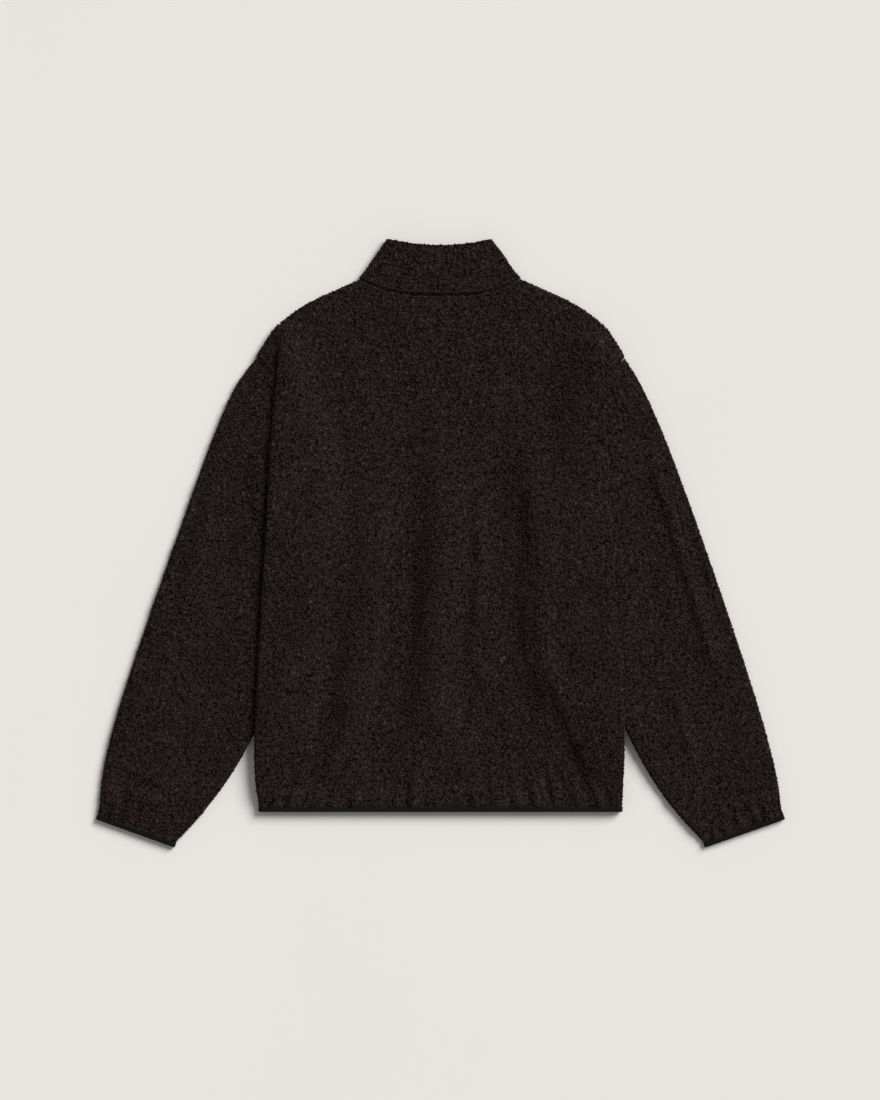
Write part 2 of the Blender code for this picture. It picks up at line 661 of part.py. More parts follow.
def binding(name, loop, outward):
    """A folded strip round an open edge: a U section swept along the loop of the edge's points."""
    tangents = np.roll(loop, -1, axis=0) - np.roll(loop, 1, axis=0)
    normals = np.cross(tangents, outward)
    normals /= np.linalg.norm(normals, axis=1, keepdims=True)
    outer = EDGE_CLOTH / 2 + BINDING_CLEAR + BINDING
    inner = EDGE_CLOTH / 2 + BINDING_CLEAR
    end = BINDING_CLEAR + BINDING
    section = [(-BINDING_HEIGHT, outer), (end, outer), (end, -outer), (-BINDING_HEIGHT, -outer),
               (-BINDING_HEIGHT, -inner), (BINDING_CLEAR, -inner), (BINDING_CLEAR, inner),
               (-BINDING_HEIGHT, inner)]
    points = []
    faces = []
    count = len(section)
    for place, normal in zip(loop, normals):
        points += [place + np.asarray(outward) * out + normal * up for out, up in section]
    for i in range(len(loop)):
        n = (i + 1) % len(loop)
        for k in range(count):
            m = (k + 1) % count
            faces.append([i * count + k, n * count + k, n * count + m, i * count + m])
    return mesh_object(name, np.array(points), faces, BLACK_ELASTIC, roughness=0.6)


def hem_binding():
    back, _ = panel_grid(True)
    front, _ = panel_grid(False)
    turned = FOLD_STEPS + INWARD_STEPS + END_STEPS + STUB_STEPS
    top = back[0]
    keep = list(range(turned + 1)) + list(range(turned + 5, len(top) - turned - 5, 5))
    keep += list(range(len(top) - turned - 1, len(top)))
    bottom = front[0][::-1]
    loop = np.concatenate([top[keep], bottom[1:-1]])
    return binding("hem_binding", loop, (0.0, -1.0, 0.0))


def cuff_binding(side):
    ring = np.array(sleeve_section(1.0, side))
    outer = along_edge(SLEEVE_OUTER, 1.0, side)
    inner = along_edge(SLEEVE_INNER, 1.0, side)
    across = (outer - inner) / np.linalg.norm(outer - inner)
    outward = np.array([across[1], -across[0], 0.0])
    if side == 1:
        ring[:, 0] *= -1.0
        outward[0] *= -1.0
        ring = ring[::-1]
    name = "cuff_binding_left" if side == 1 else "cuff_binding_right"
    return binding(name, ring, outward)


def prism(name, outline, axis, low, high, colour, roughness=0.9, metallic=0.0):
    """A closed outline extruded between two places along one axis."""
    points = []
    for place in (low, high):
        for a, b in outline:
            spot = [a, b]
            spot.insert(axis, place)
            points.append(spot)
    count = len(outline)
    faces = [list(range(count))[::-1], list(range(count, 2 * count))]
    faces += [[k, (k + 1) % count, count + (k + 1) % count, count + k] for k in range(count)]
    if axis == 1:
        faces = [face[::-1] for face in faces]
    return mesh_object(name, np.array(points), faces, colour, roughness, metallic)


def zip_tape(name, sign):
    inner = CHAIN_HALF + SEAM_GAP
    xs = sorted((sign * inner, sign * TAPE_OUTER))
    outline = [(xs[0], TAPE_BOTTOM), (xs[1], TAPE_BOTTOM), (xs[1], TAPE_TOP), (xs[0], TAPE_TOP)]
    return prism(name, outline, 1, ZIP_BOTTOM_Y - 8.0, CHAIN_END_Y, TAPE_BLACK)


def zip_chain():
    chamfer = 0.8
    outline = [(-CHAIN_HALF + chamfer, CHAIN_BOTTOM), (CHAIN_HALF - chamfer, CHAIN_BOTTOM),
               (CHAIN_HALF, CHAIN_BOTTOM + chamfer), (CHAIN_HALF, CHAIN_TOP - chamfer),
               (CHAIN_HALF - chamfer, CHAIN_TOP), (-CHAIN_HALF + chamfer, CHAIN_TOP),
               (-CHAIN_HALF, CHAIN_TOP - chamfer), (-CHAIN_HALF, CHAIN_BOTTOM + chamfer)]
    return prism("zip_chain", outline, 1, ZIP_BOTTOM_Y + 2.0, CHAIN_END_Y, TAPE_BLACK, 0.5)


def zip_slider():
    """Two plates joined by a post, with a lug each side of the pull tab."""
    low, high = SLIDER_OUTER_Z, SLIDER_INNER_Z + SLIDER_PLATE
    outline = [(SLIDER_LOW_Y, low), (SLIDER_TOP_Y, low), (SLIDER_TOP_Y, high), (SLIDER_LOW_Y, high),
               (SLIDER_LOW_Y, SLIDER_INNER_Z), (SLIDER_POST_Y, SLIDER_INNER_Z),
               (SLIDER_POST_Y, low + SLIDER_PLATE), (SLIDER_LOW_Y, low + SLIDER_PLATE)]
    body = prism("zip_slider", outline, 0, -SLIDER_HALF, SLIDER_HALF, DARK_METAL, 0.35, 0.9)
    for sign in (-1.0, 1.0):
        lug_outline = [(TAB_HINGE_Y - 1.4, LUG_BOTTOM), (TAB_HINGE_Y + 1.4, LUG_BOTTOM),
                       (TAB_HINGE_Y + 1.4, low + 0.3), (TAB_HINGE_Y - 1.4, low + 0.3)]
        xs = sorted((sign * LUG_INNER, sign * LUG_OUTER))
        lug = prism("lug_guide", lug_outline, 0, xs[0], xs[1], DARK_METAL)
        lug.hide_render = True
        lug.display_type = "WIRE"
        join = body.modifiers.new("lug", "BOOLEAN")
        join.operation = "UNION"
        join.object = lug
    return body


def zip_pull_tab():
    """A flat tapered tab whose heel turns between the slider's lugs; its origin is on that axis."""
    tip = -TAB_LENGTH
    outline = [(-TAB_HALF, TAB_HEEL), (-TAB_HALF, -6.0), (-TAB_TIP_HALF, tip + 3.0),
               (-TAB_TIP_HALF + 1.6, tip), (TAB_TIP_HALF - 1.6, tip), (TAB_TIP_HALF, tip + 3.0),
               (TAB_HALF, -6.0), (TAB_HALF, TAB_HEEL)]
    tab = prism("zip_pull_tab", outline, 2, -TAB_HALF_THICK, TAB_HALF_THICK, DARK_METAL, 0.35, 0.9)
    tab.location = (0.0, TAB_HINGE_Y * MM, TAB_HINGE_Z * MM)
    return tab


def clear_scene():
    for thing in list(bpy.data.objects):
        bpy.data.objects.remove(thing, do_unlink=True)


clear_scene()
back_panel()
front_panel()
for body_side in (1, 2):
    sleeve(body_side)
    cuff_binding(body_side)
collar()
hem_binding()
zip_tape("zip_tape_left", -1.0)
zip_tape("zip_tape_right", 1.0)
zip_chain()
zip_slider()
zip_pull_tab()
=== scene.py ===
import itertools
import math

import bmesh
import bpy
import numpy as np
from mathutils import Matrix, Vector
from mathutils.bvhtree import BVHTree


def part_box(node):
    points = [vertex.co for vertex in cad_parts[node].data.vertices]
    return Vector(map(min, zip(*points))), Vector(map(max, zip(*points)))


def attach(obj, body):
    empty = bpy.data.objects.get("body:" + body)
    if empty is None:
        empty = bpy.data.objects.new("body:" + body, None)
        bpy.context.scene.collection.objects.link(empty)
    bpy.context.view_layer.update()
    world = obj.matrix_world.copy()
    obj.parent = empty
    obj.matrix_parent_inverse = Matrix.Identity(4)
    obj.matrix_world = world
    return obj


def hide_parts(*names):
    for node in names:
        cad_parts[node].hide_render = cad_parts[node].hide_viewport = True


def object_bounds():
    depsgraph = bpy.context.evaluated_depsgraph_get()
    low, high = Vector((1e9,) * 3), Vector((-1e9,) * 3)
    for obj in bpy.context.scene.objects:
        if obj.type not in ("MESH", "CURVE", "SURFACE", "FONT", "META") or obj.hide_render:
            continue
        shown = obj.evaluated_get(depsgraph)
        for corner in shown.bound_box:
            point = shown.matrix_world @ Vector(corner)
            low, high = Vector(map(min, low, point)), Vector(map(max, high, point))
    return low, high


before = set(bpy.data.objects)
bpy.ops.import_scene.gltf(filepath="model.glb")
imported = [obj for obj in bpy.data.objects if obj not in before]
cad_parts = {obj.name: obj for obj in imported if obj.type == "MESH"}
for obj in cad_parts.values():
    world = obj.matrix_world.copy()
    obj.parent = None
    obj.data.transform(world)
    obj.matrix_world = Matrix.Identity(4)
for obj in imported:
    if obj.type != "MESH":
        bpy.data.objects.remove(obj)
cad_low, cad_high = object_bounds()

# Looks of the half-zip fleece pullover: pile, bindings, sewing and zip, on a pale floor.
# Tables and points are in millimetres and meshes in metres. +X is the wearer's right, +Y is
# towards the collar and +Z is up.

MM = 0.001

# Cloth meshes
WELD = 0.000005
RIM_ANGLE = math.radians(70)
JOIN_FACES = math.radians(25)
JOIN_SHAPE = math.radians(60)
CLOTH_RIM = 1.0        # 1 keeps a cut edge sharp
BINDING_RIM = 0.6
SMOOTH_LEVELS = 2
TAPE_LEVELS = 3
FINE_EDGE = 4.2        # longest edge on the cloth that shows
FINE_PASSES = 3
COVER_REACH = 6.0      # cloth with another surface nearer than this doesn't show
RAY_START = 0.3
SHOWS_FROM = -0.3      # upward part of the normal from which cloth shows
SHAPE_FADE = (-0.1, 0.5)
HIGH_UP = 100.0        # above every piece of the garment
LOWEST = 0.15          # pile stays this far above the surface

# Lumps of the cloth, as size, height and seed, made from repeating tables of random values
LATTICE = 48
LUMPS = ((30.0, 0.55, 11), (12.0, 0.45, 12), (6.5, 0.35, 13))

# Nubs of the pile
NUB_CELL = 3.5
NUB_TRIES = 4.0
NUB_SIDES = 6
NUB_RADIUS = (1.8, 2.7)
NUB_HEIGHT = (1.1, 2.1)
NUB_SINK = 0.5
NUB_SIDE_SHARE = 0.5   # height of the nubs on the sides, compared with the top
NUB_SIDE_FADE = (0.0, 0.6)
NUB_LEAN = 0.9
NUB_SWAY = (-0.25, 0.25)
NUB_REACH = (0.8, 1.2)
NUB_TOP = (0.82, 0.96)  # stored height of a nub's top, which its colour follows: painted light on the top, painted shade towards the rim

# Cloth pieces: the fleece and the bindings
FLEECE_NODES = ("back_panel", "front_panel", "sleeve_left", "sleeve_right", "collar")
BINDING_NODES = ("hem_binding", "cuff_binding_left", "cuff_binding_right")

# Folds that the cloth adds to those of the solids: half width, height, points from end to end
FOLDS = {
    "back_panel": (
        (40, 5.8, ((-96, 170), (-100, 20), (-104, -100), (-118, -200), (-150, -320))),
        (42, 6.0, ((2, 180), (4, 40), (-4, -80), (-4, -180), (-20, -310))),
        (42, 5.8, ((112, 190), (118, 60), (116, -60), (132, -160), (176, -280))),
        (10, 1.6, ((-60, 150), (-72, 55), (-85, -58), (-85, -133), (-123, -246), (-154, -323))),
        (13, -1.0, ((-28, 24), (-34, -102), (-54, -184), (-66, -259), (-79, -317))),
        (11, 1.5, ((41, 131), (54, -38), (41, -133), (66, -228))),
        (13, -1.0, ((92, 150), (103, 55), (98, -38), (103, -133), (123, -197), (161, -279))),
        (10, 1.6, ((142, -164), (167, -228), (198, -310))),
        (11, -1.0, ((192, -197), (218, -291))),
        (14, -1.0, ((-142, 24), (-161, -102), (-192, -197), (-218, -291))),
        (14, 1.2, ((-120, 60), (-132, -90), (-166, -200), (-190, -300))),
        (15, 1.0, ((118, 130), (128, 20), (130, -120), (158, -230))),
    ),
    "sleeve_right": (
        (8, -1.0, ((280, 163), (318, 50), (352, -80), (388, -197))),
        (11, 1.8, ((262, 150), (298, 40), (334, -85), (370, -205))),
        (7, 2.0, ((432, -308), (408, -318), (382, -322))),
        (7, 1.8, ((424, -330), (398, -342), (372, -344))),
        (9, 1.5, ((300, -180), (318, -240), (332, -300))),
    ),
    "sleeve_left": (
        (9, 1.8, ((-424, -280), (-392, -300), (-356, -312))),
        (8, 1.6, ((-410, -318), (-384, -334), (-352, -340))),
        (12, 1.4, ((-270, 150), (-305, 30), (-340, -90), (-384, -230))),
        (9, -1.0, ((-292, 140), (-326, 20), (-360, -100))),
        (9, 1.3, ((-296, -180), (-314, -240), (-330, -300))),
    ),
    "collar": (
        (4, 1.5, ((-76, 386), (-52, 372), (-25, 352))),
        (4, -0.9, ((-66, 386), (-44, 372), (-16, 352))),
        (4, 1.2, ((-84, 362), (-74, 352), (-66, 342))),
        (5, 1.0, ((30, 384), (34, 364), (28, 340))),
    ),
}
FOLD_BOOST = 1.6
FOLD_END = 0.25        # share of a fold's length over which it fades at each end
DEEPEST = 1.1          # the cloth is 2.4 thick, so a crease in its outer side goes no deeper

# Gathers that the elastic bindings pull in, as node, both ends of the edge, inward direction,
# number and reach
GATHERS = (
    ("back_panel", (-228, -344), (228, -344), (0, 1), 34, 62),
    ("sleeve_left", (-436, -357), (-352, -386), (0.33, 0.944), 9, 34),
    ("sleeve_right", (436, -357), (352, -386), (-0.33, 0.944), 9, 34),
)
GATHER_SEED = 21
GATHER_START = (0.25, 0.75)    # place inside its own step along the edge
GATHER_LENGTH = (0.5, 1.2)     # share of the reach
GATHER_FAN = 0.10
GATHER_RIDGE = (0.9, 2.2)
GATHER_CREASE = -0.9
GATHER_HALF_WIDTH = (4.5, 7.5)
GATHER_OVERRUN = 14

# Seam of the collar and the back, and the armhole seams where they show
NECK_SEAM = (
    (-104, 343.2), (-90, 337.1), (-75, 331.4), (-60, 327.6), (-45, 325.2), (-30, 324.0), (0, 323.5),
    (30, 324.0), (45, 325.2), (60, 327.6), (75, 331.4), (90, 337.1), (103, 343.0),
)
ARMHOLE_SEAMS = (((-237, 240), (-219, 222), (-207, 207)), ((237, 240), (219, 222), (207, 207)))
STITCH_LENGTH = 3.0
STITCH_STEP = 3.9
STITCH_RADIUS = 0.38
STITCH_SIDES = 6
STITCH_LIFT = 1.9
STITCH_BOW = ((-0.5, 0.9), (-0.35, 0.15), (0.0, 0.0), (0.35, 0.15), (0.5, 0.9))  # share and sink
SEAM_HALF = 3.3        # from the neck seam to each line of stitches
ARMHOLE_STITCH = 4.5   # from the armhole seam to its topstitch, on the body

# Overlocked roll in the back neck seam
ROLL_RADIUS = 0.9
ROLL_SIDES = 8
ROLL_SET_BACK = 3.0    # where the cloth's height is read, behind the seam
ROLL_LEAD = 0.5
ROLL_DEPTH = 1.5
ROLL_END_X = 1.0       # both ends run on by this much while they go down
ROLL_END_Y = 0.6

# Zip
COIL_PITCH = 1.45
COIL_RADIUS = 1.05
COIL_WIRE = 0.28
COIL_STEPS = 10
COIL_SIDES = 5
COIL_CENTRE = 1.35
COIL_WIDE = 1.3
COIL_HIGH = 0.8
CORE_RADIUS = 0.5
CORE_SIDES = 8
CORE_INSET = 1.0
METAL_FLAT = math.radians(1)
METAL_EDGE = math.radians(30)
METAL_ROUND = 0.16
METAL_SHARP = math.radians(25)

# Camera and light
VIEW_X = -0.65
VIEW_Y = -8.45
VIEW_HEIGHT = 1430.0
CAMERA_DISTANCE = 4.0
SENSOR = 36.0
SUN_STRENGTH = 3.6
SUN_ANGLE = math.radians(34)
SUN_FROM = Vector((0.62, 0.55, 0.66))
SUN_COLOUR = (1.0, 0.985, 0.965)
WORLD_COLOUR = (1.0, 0.99, 0.98, 1.0)
WORLD_STRENGTH = 0.28
FLOOR_HALF = 6.0
FLOOR_DROP = 0.0004


def smooth_step(value, low, high):
    """0 below low, 1 above high, with a soft start and end."""
    part = np.clip((value - low) / (high - low), 0.0, 1.0)
    return part * part * (3.0 - 2.0 * part)


def lattice_noise(points, size, seed):
    """Smooth noise from -1 to 1 with bumps of that size."""
    table = np.random.default_rng(seed).uniform(-1.0, 1.0, (LATTICE,) * 3)
    cell = np.floor(points / size).astype(int)
    part = points / size - cell
    part = part * part * (3.0 - 2.0 * part)
    total = np.zeros(len(points))
    for corner in itertools.product((0, 1), repeat=3):
        weight = np.prod(np.where(corner, part, 1.0 - part), axis=1)
        index = (cell + corner) % LATTICE
        total += weight * table[index[:, 0], index[:, 1], index[:, 2]]
    return total


def fold_height(places, line, half_width, height):
    """Height of one rounded ridge, or trough, along a line of points, faded out at its ends."""
    line = np.array(line, dtype=float)
    nearest = np.full(len(places), np.inf)
    along = np.zeros(len(places))
    for k in range(len(line) - 1):
        run = line[k + 1] - line[k]
        part = np.clip((places - line[k]) @ run / (run @ run), 0.0, 1.0)
        distance = np.linalg.norm(places - line[k] - part[:, None] * run, axis=1)
        nearer = distance < nearest
        nearest[nearer] = distance[nearer]
        along[nearer] = (k + part[nearer]) / (len(line) - 1)
    across = np.clip(1.0 - (nearest / half_width) ** 2, 0.0, 1.0) ** 2
    ends = np.minimum(smooth_step(along, 0.0, FOLD_END), smooth_step(1.0 - along, 0.0, FOLD_END))
    return height * across * ends


def gather_folds(low, high, inward, number, reach):
    """Short ridges and creases side by side along an elastic edge, fanning out a little."""
    random = np.random.default_rng(GATHER_SEED)
    low, high, inward = (np.array(v, dtype=float) for v in (low, high, inward))
    middle = (low + high) / 2
    folds = []
    for k in range(number):
        start = low + (high - low) * (k + random.uniform(*GATHER_START)) / number
        length = reach * random.uniform(*GATHER_LENGTH)
        end = start + inward * length + (middle - start) * GATHER_FAN * length / reach
        height = random.uniform(*GATHER_RIDGE) if k % 2 == 0 else GATHER_CREASE
        line = (start - inward * GATHER_OVERRUN, start, end)
        folds.append((random.uniform(*GATHER_HALF_WIDTH), height, line))
    return folds


def mesh_arrays(mesh):
    """Points in millimetres and outward normals of a mesh."""
    points = np.empty(len(mesh.vertices) * 3)
    normals = np.empty(len(mesh.vertices) * 3)
    mesh.vertices.foreach_get("co", points)
    mesh.vertices.foreach_get("normal", normals)
    return points.reshape(-1, 3) / MM, normals.reshape(-1, 3)


def add_object(name, mesh, material):
    thing = bpy.data.objects.new(name, mesh)
    bpy.context.collection.objects.link(thing)
    mesh.materials.clear()
    mesh.materials.append(material)
    mesh.shade_smooth()
    return thing


def smoothed_mesh(node, rim_crease, levels):
    """The node's mesh as rounded quads, with its cut edges kept where they are."""
    mesh = bpy.data.meshes.new(node + "_smooth")
    work = bmesh.new()
    work.from_mesh(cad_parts[node].data)
    bmesh.ops.remove_doubles(work, verts=work.verts, dist=WELD)
    bmesh.ops.join_triangles(work, faces=work.faces, angle_face_threshold=JOIN_FACES,
                             angle_shape_threshold=JOIN_SHAPE)
    crease = work.edges.layers.float.new("crease_edge")
    for edge in work.edges:
        if edge.is_manifold and edge.calc_face_angle() > RIM_ANGLE:
            edge[crease] = rim_crease
    work.to_mesh(mesh)
    work.free()
    holder = bpy.data.objects.new(node + "_holder", mesh)
    bpy.context.collection.objects.link(holder)
    smoothing = holder.modifiers.new("smooth", "SUBSURF")
    smoothing.levels = levels
    smoothing.render_levels = levels
    evaluated = holder.evaluated_get(bpy.context.evaluated_depsgraph_get())
    smoothed = bpy.data.meshes.new_from_object(evaluated)
    bpy.data.objects.remove(holder)
    bpy.data.meshes.remove(mesh)
    return smoothed


def bevelled_mesh(node):
    """The node's mesh with small rounds along its edges."""
    mesh = bpy.data.meshes.new(node + "_rounded")
    work = bmesh.new()
    work.from_mesh(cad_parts[node].data)
    bmesh.ops.remove_doubles(work, verts=work.verts, dist=WELD)
    bmesh.ops.dissolve_limit(work, angle_limit=METAL_FLAT, verts=work.verts, edges=work.edges)
    sharp = [e for e in work.edges if e.is_manifold and e.calc_face_angle() > METAL_EDGE]
    bmesh.ops.bevel(work, geom=sharp, offset=METAL_ROUND * MM, segments=2, profile=0.5,
                    affect="EDGES")
    work.to_mesh(mesh)
    work.free()
    return mesh


def surface_tree(meshes):
    """One tree of all the cloth, in millimetres."""
    points = []
    faces = []
    for mesh in meshes:
        start = len(points)
        points.extend(mesh_arrays(mesh)[0].tolist())
        faces.extend([start + i for i in face.vertices] for face in mesh.polygons)
    return BVHTree.FromPolygons(points, faces)


def cloth_height(tree, x, y):
    """Height of the uppermost cloth at a place, or None beside the garment."""
    hit = tree.ray_cast(Vector((x, y, HIGH_UP)), Vector((0.0, 0.0, -1.0)))[0]
    return None if hit is None else hit.z


def open_points(mesh, tree):
    """True at each point of the mesh where the cloth shows and can carry pile."""
    points, normals = mesh_arrays(mesh)
    shows = normals[:, 2] > SHOWS_FROM
    for i in np.nonzero(shows)[0]:
        normal = Vector(normals[i])
        start = Vector(points[i]) + normal * RAY_START
        shows[i] = tree.ray_cast(start, normal, COVER_REACH)[0] is None
    return shows


def split_long_edges(mesh, tree):
    """Divides the cloth that shows until no edge is longer than FINE_EDGE."""
    for _ in range(FINE_PASSES):
        shows = open_points(mesh, tree)
        work = bmesh.new()
        work.from_mesh(mesh)
        work.verts.ensure_lookup_table()
        long_edges = [e for e in work.edges if e.calc_length() > FINE_EDGE * MM
                      and shows[e.verts[0].index] and shows[e.verts[1].index]]
        if long_edges:
            bmesh.ops.subdivide_edges(work, edges=long_edges, cuts=1, use_grid_fill=True)
        work.to_mesh(mesh)
        work.free()
        if not long_edges:
            break


def shape_cloth(mesh, folds, tree):
    """Adds the fine folds and lumps to the cloth that shows."""
    points, normals = mesh_arrays(mesh)
    shows = open_points(mesh, tree)
    rise = np.zeros(len(points))
    for half_width, height, line in folds:
        rise += fold_height(points[:, :2], line, half_width, height)
    rise = np.maximum(rise * FOLD_BOOST, -DEEPEST)
    for size, height, seed in LUMPS:
        rise += height * lattice_noise(points, size, seed)
    rise *= smooth_step(normals[:, 2], *SHAPE_FADE) * shows
    points += normals * rise[:, None]
    points[:, 2] = np.maximum(points[:, 2], 0.0)
    mesh.vertices.foreach_set("co", (points * MM).ravel())
    mesh.update()


def scatter(mesh, shows, random):
    """Places for nubs over the showing faces, no more than one in each small cell."""
    mesh.calc_loop_triangles()
    triangles = np.empty(len(mesh.loop_triangles) * 3, dtype=np.int32)
    mesh.loop_triangles.foreach_get("vertices", triangles)
    triangles = triangles.reshape(-1, 3)
    triangles = triangles[shows[triangles].all(axis=1)]
    points, normals = mesh_arrays(mesh)
    a, b, c = (points[triangles[:, k]] for k in range(3))
    areas = np.linalg.norm(np.cross(b - a, c - a), axis=1) / 2
    count = int(NUB_TRIES * areas.sum() / NUB_CELL ** 2)
    chosen = random.choice(len(triangles), count, p=areas / areas.sum())
    share = random.uniform(0.0, 1.0, (count, 2))
    share = np.where(share.sum(axis=1, keepdims=True) > 1.0, 1.0 - share, share)
    weights = np.column_stack([1.0 - share.sum(axis=1), share])
    corners = triangles[chosen]
    places = np.einsum("nk,nkd->nd", weights, points[corners])
    facing = np.einsum("nk,nkd->nd", weights, normals[corners])
    facing /= np.linalg.norm(facing, axis=1, keepdims=True)
    cells = np.floor(places / NUB_CELL).astype(int)
    _, first = np.unique(cells, axis=0, return_index=True)
    return places[first], facing[first]


def pile(node, mesh, tree, material, seed):
    """The nubs of one cloth piece, joined into one mesh."""
    random = np.random.default_rng(seed)
    places, facing = scatter(mesh, open_points(mesh, tree), random)
    number = len(places)
    side = np.cross(facing, random.normal(size=(number, 3)))
    side /= np.linalg.norm(side, axis=1, keepdims=True)
    other = np.cross(facing, side)
    radius = random.uniform(*NUB_RADIUS, (number, 1))
    height = random.uniform(*NUB_HEIGHT, (number, 1))
    height *= NUB_SIDE_SHARE + (1.0 - NUB_SIDE_SHARE) * smooth_step(facing[:, 2:], *NUB_SIDE_FADE)
    lean = random.uniform(-NUB_LEAN, NUB_LEAN, (number, 2))
    top = places + facing * height + side * lean[:, :1] + other * lean[:, 1:]
    rings = [top]
    for k in range(NUB_SIDES):
        turn = 2 * math.pi * (k + random.uniform(*NUB_SWAY, (number, 1))) / NUB_SIDES
        reach = radius * random.uniform(*NUB_REACH, (number, 1))
        rim = places + (side * np.cos(turn) + other * np.sin(turn)) * reach - facing * NUB_SINK
        rings.append(rim)
    points = np.stack(rings, axis=1)
    points[:, :, 2] = np.maximum(points[:, :, 2], LOWEST)
    first = np.arange(number) * (NUB_SIDES + 1)
    faces = [np.column_stack([first, first + 1 + k, first + 1 + (k + 1) % NUB_SIDES])
             for k in range(NUB_SIDES)]
    made = bpy.data.meshes.new(node + "_pile")
    made.from_pydata((points.reshape(-1, 3) * MM).tolist(), [], np.concatenate(faces).tolist())
    # Painted shade and light: 0 at each nub's rim and its stored height at the top, which the pile
    # material turns from near black to lighter.
    shade_by_nub_height = np.zeros((number, NUB_SIDES + 1))
    shade_by_nub_height[:, 0] = random.uniform(*NUB_TOP, number)
    stored = made.attributes.new("shade_by_nub_height", "FLOAT", "POINT")
    stored.data.foreach_set("value", shade_by_nub_height.ravel())
    return add_object(node + "_pile", made, material)


def tube(path, radius, sides):
    """Points and faces of a closed-ended round bar along a path."""
    path = np.array(path, dtype=float)
    along = np.gradient(path, axis=0)
    along /= np.linalg.norm(along, axis=1, keepdims=True)
    guide = np.tile(np.array([0.31, 0.22, 0.93]), (len(path), 1))
    side = np.cross(along, guide)
    side /= np.linalg.norm(side, axis=1, keepdims=True)
    other = np.cross(along, side)
    turns = 2 * math.pi * np.arange(sides) / sides
    points = (path[:, None] + radius * (side[:, None] * np.cos(turns)[None, :, None]
                                        + other[:, None] * np.sin(turns)[None, :, None]))
    faces = []
    for j in range(len(path) - 1):
        for i in range(sides):
            n = (i + 1) % sides
            faces.append([j * sides + i, j * sides + n, (j + 1) * sides + n, (j + 1) * sides + i])
    faces.append(list(range(sides))[::-1])
    faces.append([(len(path) - 1) * sides + i for i in range(sides)])
    return points.reshape(-1, 3), faces


def joined_mesh(name, parts):
    """One mesh of several sets of points and faces, given in millimetres."""
    points = []
    faces = []
    for part_points, part_faces in parts:
        start = len(points)
        points.extend((part_points * MM).tolist())
        faces.extend([start + i for i in face] for face in part_faces)
    mesh = bpy.data.meshes.new(name)
    mesh.from_pydata(points, [], faces)
    return mesh


def even_places(line, step):
    """Places every step along a line, each with its direction."""
    line = np.array(line, dtype=float)
    lengths = np.concatenate([[0.0], np.cumsum(np.linalg.norm(np.diff(line, axis=0), axis=1))])
    marks = np.arange(step / 2, lengths[-1], step)
    at = np.column_stack([np.interp(marks, lengths, line[:, k]) for k in range(2)])
    ahead = np.column_stack([np.interp(marks + 1.0, lengths, line[:, k]) for k in range(2)])
    behind = np.column_stack([np.interp(marks - 1.0, lengths, line[:, k]) for k in range(2)])
    run = ahead - behind
    return at, run / np.linalg.norm(run, axis=1, keepdims=True)


def stitches(name, lines, tree, material):
    """Short rounded threads that lie on the cloth along each line, offset to one side."""
    parts = []
    for line, offset in lines:
        at, run = even_places(line, STITCH_STEP)
        for place, direction in zip(at, run):
            beside = place + np.array([-direction[1], direction[0]]) * offset
            path = []
            for share, sink in STITCH_BOW:
                x, y = beside + direction * STITCH_LENGTH * share
                height = cloth_height(tree, x, y)
                if height is not None:
                    path.append((x, y, height + STITCH_LIFT - sink))
            if len(path) == len(STITCH_BOW):
                parts.append(tube(path, STITCH_RADIUS, STITCH_SIDES))
    return add_object(name, joined_mesh(name, parts), material)


def new_material(name, roughness, metallic=0.0, specular=0.3):
    material = bpy.data.materials.new(name)
    material.use_nodes = True
    shader = material.node_tree.nodes["Principled BSDF"]
    shader.inputs["Roughness"].default_value = roughness
    shader.inputs["Metallic"].default_value = metallic
    shader.inputs["Specular IOR Level"].default_value = specular
    return material, shader


def add_node(material, kind, inputs=(), **settings):
    """A node with its settings, and values for its named inputs."""
    node = material.node_tree.nodes.new(kind)
    for key, value in settings.items():
        setattr(node, key, value)
    for key, value in dict(inputs).items():
        node.inputs[key].default_value = value
    return node


def connect(material, source, target):
    material.node_tree.links.new(source, target)


def colour_ramp(material, source, stops):
    """Colours by the value of a source, each stop a place and a linear colour."""
    ramp = add_node(material, "ShaderNodeValToRGB")
    elements = ramp.color_ramp.elements
    while len(elements) < len(stops):
        elements.new(0.5)
    for element, (place, colour) in zip(elements, stops):
        element.position = place
        element.color = (*colour, 1.0)
    connect(material, source, ramp.inputs["Fac"])
    return ramp.outputs["Color"]


def add_bump(material, shader, height, strength, distance):
    bump = add_node(material, "ShaderNodeBump", {"Strength": strength, "Distance": distance})
    connect(material, height, bump.inputs["Height"])
    previous = shader.inputs["Normal"].links
    if previous:
        connect(material, previous[0].from_socket, bump.inputs["Normal"])
    connect(material, bump.outputs["Normal"], shader.inputs["Normal"])


